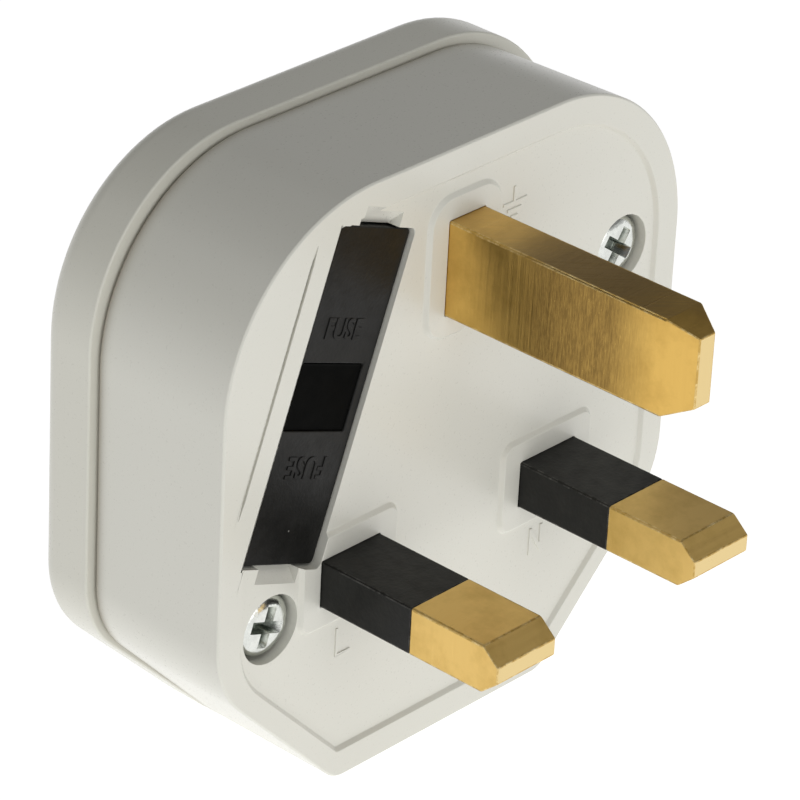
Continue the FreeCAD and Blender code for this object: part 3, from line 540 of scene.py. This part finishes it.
def block(size, place=(0, 0, 0), turn=0.0):
    """A block to be shaped further, turned in the plane of the pin face."""
    start_piece()
    bpy.ops.mesh.primitive_cube_add(size=1, location=place, rotation=(0, turn, 0), scale=size)
    set_in_mesh()
    return bpy.context.object


def apply_modifier(piece, kind, **settings):
    """Add one modifier and make it part of the mesh."""
    modifier = piece.modifiers.new(kind.lower(), kind)
    for key, value in settings.items():
        setattr(modifier, key, value)
    bpy.context.view_layer.objects.active = piece
    bpy.ops.object.modifier_apply(modifier=modifier.name)


def round_edges(piece, width, corner):
    """Round off the edges that turn by more than a corner's angle."""
    apply_modifier(piece, "BEVEL", width=width, segments=2, limit_method="ANGLE", angle_limit=corner)


def split_faces(piece):
    """Split every face across its shortest way, so that the piece comes out the same each time."""
    apply_modifier(piece, "TRIANGULATE", quad_method="SHORTEST_DIAGONAL", ngon_method="BEAUTY")


def join_or_cut(piece, other, operation):
    """Add another shape to a piece or take it away."""
    apply_modifier(piece, "BOOLEAN", operation=operation, solver="EXACT", object=other)
    bpy.data.objects.remove(other)


def pick_faces(piece, direction):
    """In edit mode, pick the faces that look in one direction."""
    bpy.ops.mesh.select_mode(type="FACE")
    bpy.ops.mesh.select_all(action="DESELECT")
    bpy.ops.object.mode_set(mode="OBJECT")
    for face in piece.data.polygons:
        face.select = face.normal.dot(Vector(direction)) > SAME_DIRECTION
    bpy.ops.object.mode_set(mode="EDIT")


def hand_over(piece, name, body, slot, *finishes):
    """Name and finish a piece, and let it move with its body."""
    piece.name = name
    while len(piece.data.materials) < len(finishes):
        piece.data.materials.append(None)
    for place, finish in enumerate(finishes):
        piece.data.materials[place] = finish
    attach(piece, body)


def by_carrier(across, along, depth=0.0):
    """A place from the carrier's middle, across and along it, at a depth behind the pin face."""
    x = CARRIER_MIDDLE[0] + across * math.cos(CARRIER_SLANT) + along * math.sin(CARRIER_SLANT)
    z = CARRIER_MIDDLE[1] - across * math.sin(CARRIER_SLANT) + along * math.cos(CARRIER_SLANT)
    return x, depth, z


def on_carrier(across, along):
    """A place on the carrier's front, from its middle."""
    return by_carrier(across, along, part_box("fuse_carrier")[0][1])


def strip_block(outer, inner, low, high):
    """One block of the strip beside the carrier, level with the rim and trimmed inside the base."""
    place = by_carrier((outer + inner) / 2, (low + high) / 2, STRIP_THICK / 2)
    piece = block((inner - outer, STRIP_THICK, high - low), place, CARRIER_SLANT)
    bpy.ops.object.mode_set(mode="EDIT")
    bpy.ops.mesh.select_all(action="SELECT")
    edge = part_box("base")[0][0] + STRIP_MARGIN
    bpy.ops.mesh.bisect(plane_co=(edge, 0, 0), plane_no=(1, 0, 0), use_fill=True, clear_inner=True)
    bpy.ops.object.mode_set(mode="OBJECT")
    return piece


def strip_groove():
    """The thin groove along the strip, with pointed ends, shaped to be cut out of the base."""
    cutter = block((GROOVE_WIDTH, 2 * GROOVE_DEPTH, GROOVE_LENGTH))
    bpy.ops.object.mode_set(mode="EDIT")
    for end in (1, -1):
        pick_faces(cutter, (0, 0, end))
        bpy.ops.mesh.extrude_region_move(TRANSFORM_OT_translate={"value": (0, 0, end * GROOVE_POINT)})
        bpy.ops.transform.resize(value=(GROOVE_NARROWING, 1, 1), center_override=(0, 0, 0))
    bpy.ops.object.mode_set(mode="OBJECT")
    cutter.location = by_carrier(GROOVE_ACROSS, GROOVE_ALONG)
    cutter.rotation_euler = (0, CARRIER_SLANT, 0)
    set_in_mesh()
    return cutter


def prising_notch(end):
    """A sloping notch at one end of the carrier, shaped to be cut out of the base."""
    reach = RAMP_END + RAMP_ABOVE * (RAMP_END - RAMP_FOOT) / RAMP_DEPTH
    middle = (0, (RAMP_DEPTH - RAMP_ABOVE) / 2, (RAMP_START + reach) / 2)
    cutter = block((RAMP_WIDTH, RAMP_DEPTH + RAMP_ABOVE, reach - RAMP_START), middle)
    bpy.ops.object.mode_set(mode="EDIT")
    pick_faces(cutter, (0, 1, 0))
    shorter = (RAMP_FOOT - RAMP_START) / (reach - RAMP_START)
    bpy.ops.transform.resize(value=(RAMP_NARROWING, 1, shorter), center_override=(0, 0, RAMP_START))
    if end < 0:
        bpy.ops.mesh.select_all(action="SELECT")
        bpy.ops.transform.mirror(constraint_axis=(False, False, True), center_override=(0, 0, 0))
        bpy.ops.mesh.normals_make_consistent(inside=False)
    bpy.ops.object.mode_set(mode="OBJECT")
    cutter.location = by_carrier(RAMP_ACROSS, 0)
    cutter.rotation_euler = (0, CARRIER_SLANT, 0)
    set_in_mesh()
    return cutter


def face_detail(piece):
    """Level the base's strip beside the carrier, cut its groove and open its prising notches."""
    lap = STRIP_INNER - STRIP_LAP
    join_or_cut(piece, strip_block(STRIP_OUTER, STRIP_INNER, STRIP_LOW, STRIP_HIGH), "UNION")
    join_or_cut(piece, strip_block(lap, STRIP_TIP, STRIP_LOW, -POCKET_END), "UNION")
    join_or_cut(piece, strip_block(lap, STRIP_TIP, POCKET_END, STRIP_TOP), "UNION")
    join_or_cut(piece, strip_groove(), "DIFFERENCE")
    for end in (1, -1):
        join_or_cut(piece, prising_notch(end), "DIFFERENCE")


def fine_on_face(place):
    """Places on the pin face whose edges are left crisp: the notches, and a well's edge by a pad."""
    east = place.x - CARRIER_MIDDLE[0]
    up = place.z - CARRIER_MIDDLE[1]
    across = east * math.cos(CARRIER_SLANT) - up * math.sin(CARRIER_SLANT)
    along = east * math.sin(CARRIER_SLANT) + up * math.cos(CARRIER_SLANT)
    upper_notch = abs(across) < NOTCH_SIDE and NOTCH_NEAR < along < UPPER_NOTCH_FAR
    lower_notch = LOWER_NOTCH_SIDE < across < NOTCH_SIDE and NOTCH_NEAR < -along < LOWER_NOTCH_FAR
    from_well = math.hypot(place.x - WELL_BY_PAD[0], place.z - WELL_BY_PAD[1])
    by_pad = from_well < WELL_REACH and place.y > PAD_LEVEL
    return place.y < CRISP_DEPTH and (upper_notch or lower_notch or by_pad)


def merge_corners(piece):
    """Make one skin of the copied solid's loose faces."""
    pick_piece(piece)
    bpy.ops.object.mode_set(mode="EDIT")
    bpy.ops.mesh.select_all(action="SELECT")
    bpy.ops.mesh.customdata_custom_splitnormals_clear()
    bpy.ops.mesh.remove_doubles(threshold=SAME_CORNER)
    bpy.ops.object.mode_set(mode="OBJECT")


def merge_flat(piece):
    """Join doubled corners, and the faces that lie in one plane."""
    pick_piece(piece)
    bpy.ops.object.mode_set(mode="EDIT")
    bpy.ops.mesh.select_all(action="SELECT")
    bpy.ops.mesh.remove_doubles(threshold=NEAR_CORNER)
    bpy.ops.mesh.dissolve_limited(angle_limit=SAME_PLANE)
    bpy.ops.object.mode_set(mode="OBJECT")


def weigh_edges(piece, fine):
    """Mark the hard edges: those in fine detail stay crisp, the others are rounded off."""
    bpy.ops.object.mode_set(mode="EDIT")
    bpy.ops.mesh.select_mode(type="EDGE")
    bpy.ops.mesh.select_all(action="DESELECT")
    bpy.ops.mesh.edges_select_sharp(sharpness=HARD_EDGE)
    bpy.ops.object.mode_set(mode="OBJECT")
    weights = piece.data.attributes.new("bevel_weight_edge", "FLOAT", "EDGE")
    for edge in piece.data.edges:
        ends = [piece.data.vertices[corner].co for corner in edge.vertices]
        edge.use_edge_sharp = edge.select and any(fine(end) for end in ends)
        weights.data[edge.index].value = float(edge.select and not edge.use_edge_sharp)


def no_fine_detail(place):
    """No place has edges that are left crisp."""
    return False


def rounded_copy(name, body, slot, width, finish=None, worn=None, shaped=None, fine=no_fine_detail):
    """A copy of a solid with its hard edges rounded off, as they leave the mould or the press."""
    piece = bpy.data.objects.new(name + "_rounded", nodes[name].data.copy())
    bpy.context.scene.collection.objects.link(piece)
    merge_corners(piece)
    if shaped:
        shaped(piece)
    merge_flat(piece)
    bpy.ops.object.shade_smooth()
    weigh_edges(piece, fine)
    finish = finish or FINISHES[slot]
    hand_over(piece, name + "_rounded", body, slot, finish, worn or finish)
    # The rounded edges take the second finish, which on pins and sleeves is wear with painted highlight
    apply_modifier(piece, "BEVEL", width=width, segments=2, limit_method="WEIGHT", use_clamp_overlap=False,
                   harden_normals=True, material=1)
    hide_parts(name)


def cross_cutter(x, y, z, turn):
    """One tapered arm of a driver's cross, through the middle of a screw's head."""
    arm = block((CROSS_LENGTH, 2 * CROSS_DEPTH, CROSS_WIDTH), (x, y, z), turn)
    bpy.ops.object.mode_set(mode="EDIT")
    pick_faces(arm, (0, 1, 0))
    bpy.ops.transform.resize(value=(CROSS_NARROWING, 1, CROSS_NARROWING),
                             center_override=(x, y + CROSS_DEPTH, z))
    bpy.ops.object.mode_set(mode="OBJECT")
    return arm


def turned_body(x, z, rings):
    """A round body pulled ring by ring from its tip to its head."""
    start_piece()
    radius, y = rings[0]
    bpy.ops.mesh.primitive_circle_add(vertices=SCREW_SIDES, radius=radius, fill_type="NGON",
                                      location=(x, y, z), rotation=(math.pi / 2, 0, 0))
    set_in_mesh()
    piece = bpy.context.object
    bpy.ops.object.mode_set(mode="EDIT")
    bpy.ops.mesh.select_all(action="SELECT")
    for next_radius, next_y in rings[1:]:
        bpy.ops.mesh.extrude_region_move(TRANSFORM_OT_translate={"value": (0, next_y - y, 0)})
        grow = next_radius / radius
        bpy.ops.transform.resize(value=(grow, 1, grow), center_override=(x, next_y, z))
        radius, y = next_radius, next_y
    bpy.ops.mesh.select_all(action="SELECT")
    bpy.ops.mesh.normals_make_consistent(inside=False)
    bpy.ops.object.mode_set(mode="OBJECT")
    return piece


def cover_screw(name, turn):
    """A pan head screw with a pressed cross, on its shank."""
    low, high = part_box(name)
    x = (low[0] + high[0]) / 2
    z = (low[2] + high[2]) / 2
    top = low[1]
    tip = high[1]
    seat = top + HEAD_DEPTH
    shank = [(SHANK_RADIUS * POINT_NARROWING, tip), (SHANK_RADIUS, tip - SHANK_POINT), (SHANK_RADIUS, seat)]
    head = [(HEAD_RADIUS, seat)] + [(HEAD_RADIUS * share, top + depth) for share, depth in HEAD_RIM]
    piece = turned_body(x, z, shank + head)
    for quarter in (0, math.pi / 2):
        join_or_cut(piece, cross_cutter(x, top, z, turn + quarter), "DIFFERENCE")
    round_edges(piece, SCREW_EDGE, SCREW_CORNER)
    split_faces(piece)
    pick_piece(piece)
    bpy.ops.object.shade_smooth_by_angle(angle=SCREW_SMOOTH)
    hand_over(piece, name + "_pressed", "plug", "zinc_screw", FINISHES["zinc_screw"])
    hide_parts(name)


def window_shade_pane():
    """The black plate in the carrier's window, a little dished; its black is painted shade for the recess.
    """
    x, front, z = on_carrier(0, 0)
    place = (x, front + (PANE_SUNK + PANE_BACK) / 2, z)
    piece = block((PANE_WIDTH, PANE_BACK - PANE_SUNK, PANE_HEIGHT), place, CARRIER_SLANT)
    bpy.ops.object.mode_set(mode="EDIT")
    pick_faces(piece, (0, -1, 0))
    bpy.ops.mesh.inset(thickness=PANE_FRAME, depth=-PANE_DISH)
    bpy.ops.object.mode_set(mode="OBJECT")
    round_edges(piece, PANE_EDGE, PANE_CORNER)
    # A dark plate standing in for the shade of the window's recess
    hand_over(piece, "carrier_window_pane", "fuse_holder", "black_moulding", PANE_SHADE_FINISH)


def raised_words(name, words, size, place, turn, rise, body, slot):
    """Raised lettering: drawn flat, thickened, then laid on the surface that carries it."""
    start_piece()
    bpy.ops.object.text_add()
    drawn = bpy.context.object
    drawn.data.body = words
    drawn.data.extrude = LETTER_THICK
    drawn.data.bevel_depth = LETTER_EDGE
    bpy.ops.object.convert(target="MESH")
    piece = bpy.context.object
    bpy.ops.object.mode_set(mode="EDIT")
    bpy.ops.mesh.select_all(action="SELECT")
    bpy.ops.mesh.remove_doubles(threshold=LETTER_GAP)
    bpy.ops.mesh.normals_make_consistent(inside=False)
    bpy.ops.object.mode_set(mode="OBJECT")
    bpy.ops.object.origin_set(type="GEOMETRY_ORIGIN", center="BOUNDS")
    piece.dimensions = (size[0], size[1], rise + MARK_ROOT)
    piece.location = (place[0], place[1] + (MARK_ROOT - rise) / 2, place[2])
    piece.rotation_euler = (math.pi / 2, turn, 0)
    set_in_mesh()
    bpy.ops.object.shade_smooth_by_angle(angle=LETTER_SMOOTH)
    hand_over(piece, name, body, slot, FINISHES[slot])


def stroke_mark(name, bars):
    """A raised mark made of straight strokes."""
    strokes = []
    for x, z, wide, tall in bars:
        place = (x * MM, FACE_FLOOR + (MARK_ROOT - MARK_RISE) / 2, z * MM)
        strokes.append(block((wide * MM, MARK_RISE + MARK_ROOT, tall * MM), place))
    piece = strokes.pop(0)
    for stroke in strokes:
        join_or_cut(piece, stroke, "UNION")
    round_edges(piece, MARK_EDGE, MARK_CORNER)
    hand_over(piece, name, "plug", "shell", FINISHES["shell"])


def face_marks():
    """The letters and the earth sign beside the pins, and the words on the carrier."""
    stroke_mark("live_mark", LIVE_STROKES)
    raised_words("neutral_mark", "N", NEUTRAL_SIZE, NEUTRAL_PLACE, 0, MARK_RISE, "plug", "shell")
    stroke_mark("earth_mark", EARTH_STROKES)
    raised_words("upper_fuse_word", "FUSE", UPPER_WORD_SIZE, on_carrier(*UPPER_WORD_PLACE), CARRIER_SLANT,
                 WORD_RISE, "fuse_holder", "black_moulding")
    raised_words("lower_fuse_word", "FUSE", LOWER_WORD_SIZE, on_carrier(*LOWER_WORD_PLACE),
                 CARRIER_SLANT + math.pi, WORD_RISE, "fuse_holder", "black_moulding")


def floor_white():
    """Paper that stays white to the eye and in reflections, and keeps a soft shadow."""
    material = bpy.data.materials.new("floor_white")
    material.use_nodes = True
    tree = material.node_tree
    tree.nodes.clear()
    out = add_node(tree, "ShaderNodeOutputMaterial")
    paper = add_node(tree, "ShaderNodeBsdfDiffuse", {"Color": FLOOR_PAPER})
    path = add_node(tree, "ShaderNodeLightPath")
    seen = path.outputs["Is Camera Ray"]
    for kind in ("Is Glossy Ray", "Is Transmission Ray"):
        either = add_node(tree, "ShaderNodeMath", operation="MAXIMUM")
        tree.links.new(seen, either.inputs[0])
        tree.links.new(path.outputs[kind], either.inputs[1])
        seen = either.outputs[0]
    glow = add_node(tree, "ShaderNodeEmission", {"Color": (1, 1, 1, 1)})
    tree.links.new(ramp(tree, seen, 0.0, 1.0, start=FLOOR_FILL, end=FLOOR_SEEN), glow.inputs["Strength"])
    both = add_node(tree, "ShaderNodeAddShader")
    tree.links.new(paper.outputs[0], both.inputs[0])
    tree.links.new(glow.outputs[0], both.inputs[1])
    tree.links.new(both.outputs[0], out.inputs["Surface"])
    return material


def floor():
    """A wide white floor at the plug's lowest point."""
    start_piece()
    bpy.ops.mesh.primitive_plane_add(size=FLOOR_WIDTH, location=(0, 0, cad_box[0][2]))
    ground = bpy.context.object
    ground.name = "floor"
    ground.data.materials.append(floor_white())


def softbox(name, place, size, power):
    """A soft lamp that faces the plug."""
    lamp = bpy.data.lights.new(name, "AREA")
    lamp.shape = "RECTANGLE"
    lamp.size, lamp.size_y = size
    lamp.energy = power
    holder = bpy.data.objects.new(name, lamp)
    holder.location = place
    holder.rotation_euler = (Vector(LAMPS_AIM) - Vector(place)).to_track_quat("-Z", "Y").to_euler()
    bpy.context.scene.collection.objects.link(holder)


def studio():
    """Soft lamps round the plug, and a room that is white low down and dark overhead."""
    for lamp in LAMPS:
        softbox(*lamp)
    world = bpy.data.worlds.new("studio")
    bpy.context.scene.world = world
    world.use_nodes = True
    tree = world.node_tree
    tree.nodes.clear()
    out = add_node(tree, "ShaderNodeOutputWorld")
    coords = add_node(tree, "ShaderNodeTexCoord")
    split = add_node(tree, "ShaderNodeSeparateXYZ")
    tree.links.new(coords.outputs["Generated"], split.inputs["Vector"])
    tone = mixed(tree, ramp(tree, split.outputs["Z"], *ROOM_FADE), ROOM_LOW, ROOM_HIGH)
    back = add_node(tree, "ShaderNodeBackground", {"Strength": 1.0})
    tree.links.new(tone, back.inputs["Color"])
    tree.links.new(back.outputs[0], out.inputs["Surface"])


def camera():
    """The picture's own view."""
    lens = bpy.data.cameras.new("camera")
    lens.lens = CAMERA_LENS
    lens.sensor_width = SENSOR_WIDTH
    lens.clip_start = NEAREST_SEEN
    lens.clip_end = FARTHEST_SEEN
    holder = bpy.data.objects.new("camera", lens)
    holder.location = CAMERA_PLACE
    holder.rotation_euler = [math.radians(angle) for angle in CAMERA_TURN]
    bpy.context.scene.collection.objects.link(holder)
    bpy.context.scene.camera = holder


dress_nodes()
rounded_copy("base", "plug", "shell", BASE_ROUND, shaped=face_detail, fine=fine_on_face)
rounded_copy("cover", "plug", "cover", COVER_ROUND)
rounded_copy("fuse_carrier", "fuse_holder", "black_moulding", CARRIER_ROUND)
rounded_copy("live_sleeve", "plug", "black_moulding", SLEEVE_ROUND, SLEEVE_FINISH, SLEEVE_EDGE_WEAR_AND_GLINT)
rounded_copy("neutral_sleeve", "plug", "black_moulding", SLEEVE_ROUND, SLEEVE_FINISH, SLEEVE_EDGE_WEAR_AND_GLINT)
rounded_copy("live_pin", "plug", "brass", PIN_ROUND, worn=BRASS_EDGE_WEAR_AND_GLINT)
rounded_copy("neutral_pin", "plug", "brass", PIN_ROUND, worn=BRASS_EDGE_WEAR_AND_GLINT)
rounded_copy("earth_pin", "plug", "brass", PIN_ROUND, EARTH_FINISH, BRASS_EDGE_WEAR_AND_GLINT)
cover_screw("cover_screw_lower", LOWER_CROSS_TURN)
cover_screw("cover_screw_upper", UPPER_CROSS_TURN)
window_shade_pane()
face_marks()
floor()
studio()
camera()
bpy.context.scene.view_settings.view_transform = "Standard"
